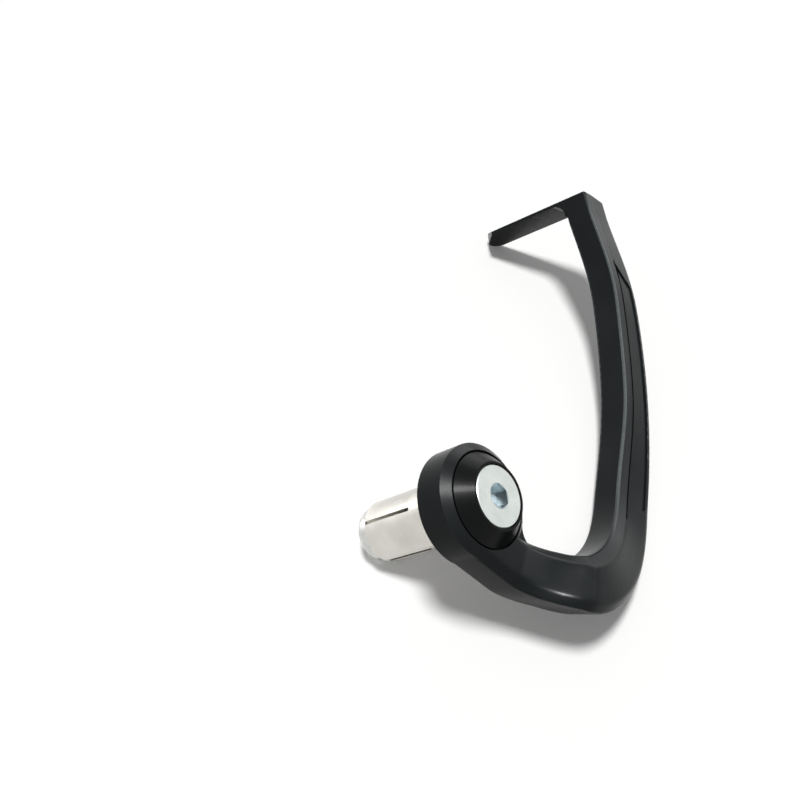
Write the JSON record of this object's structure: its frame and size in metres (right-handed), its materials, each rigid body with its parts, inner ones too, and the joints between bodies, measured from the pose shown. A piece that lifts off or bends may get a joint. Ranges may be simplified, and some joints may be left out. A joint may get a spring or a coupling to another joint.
{
  "type": "brake lever guard",
  "caption": "Bar-end brake lever guard: a satin black bowed arm with a recessed panel and an inboard blade, held by a countersunk screw in a slotted aluminium plug.",
  "frame": {"origin": "on the handlebar's axis, where the guard's ring butts against the end of the bar", "axes": "+X outboard along the bar, +Y forward and +Z square to both, so the arm hangs below the bar and reaches forward"},
  "size_m": [0.0624, 0.1765, 0.0769],
  "materials": {
    "black_casting": "satin black coat with a soft sheen",
    "gloss_black": "gloss",
    "pale_steel": "pale satin plate",
    "satin_aluminium": "satin, turned",
    "bright_steel": "bright plate"
  },
  "bodies": {
    "root": {"guard_arm": "black_casting", "seat_collar": "gloss_black", "clamp_screw": "pale_steel", "expander_sleeve": "satin_aluminium", "cone_nut": "bright_steel"}
  },
  "joints": []
}
